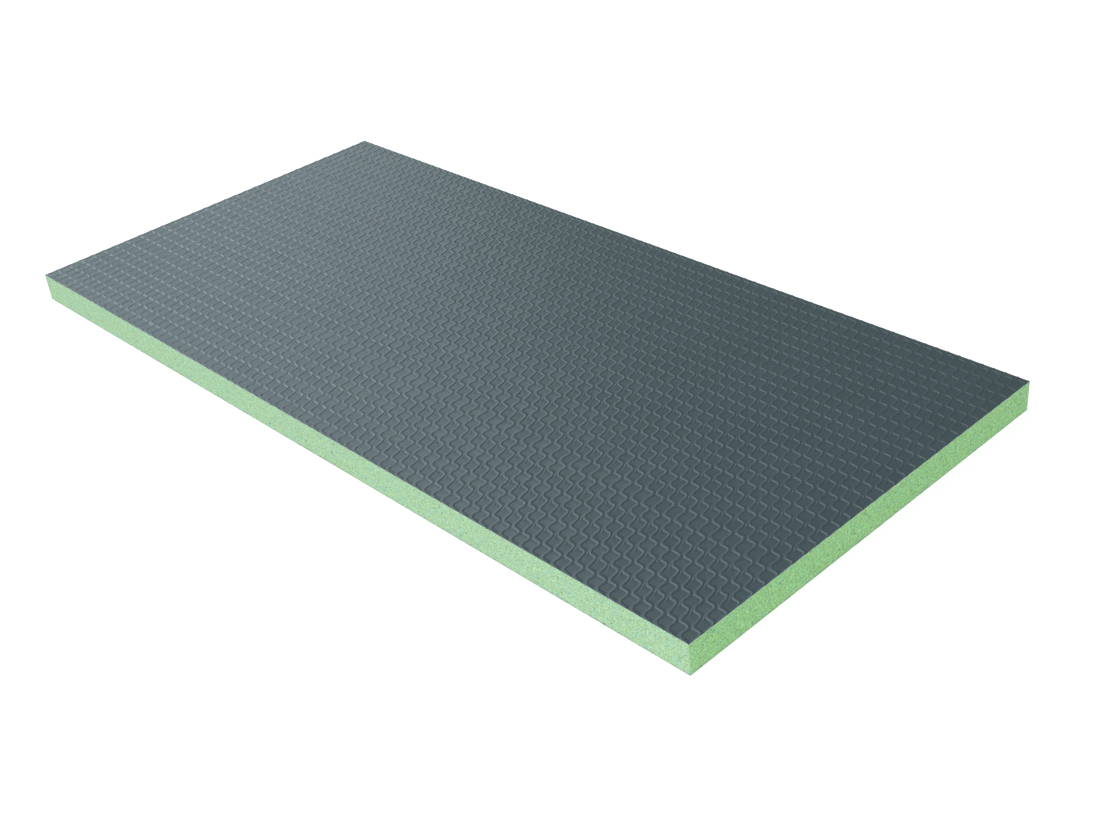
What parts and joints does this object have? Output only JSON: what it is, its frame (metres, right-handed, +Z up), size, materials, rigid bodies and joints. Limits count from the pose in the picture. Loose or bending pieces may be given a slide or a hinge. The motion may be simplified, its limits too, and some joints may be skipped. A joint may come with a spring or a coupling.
{
  "type": "foam tile backer board",
  "caption": "Flat rectangular board of green rigid foam with a thin grey mesh-textured mortar coat on both faces, for tiling over walls and floors.",
  "frame": {"origin": "centre of the underside, the face the board lies on", "axes": "+X along the board's length, +Y across its width, +Z up through its thickness to the face that is tiled"},
  "size_m": [1.25, 0.6, 0.04],
  "materials": {
    "green_foam": "sawn extruded foam, matt, with fine closed-cell grain",
    "mortar_coat": "smooth dark blue-grey polymer mortar with the relief of an embedded woven mesh, low sheen"
  },
  "bodies": {
    "root": {"top_coating": "mortar_coat", "foam_core": "green_foam", "bottom_coating": "mortar_coat"}
  },
  "joints": []
}
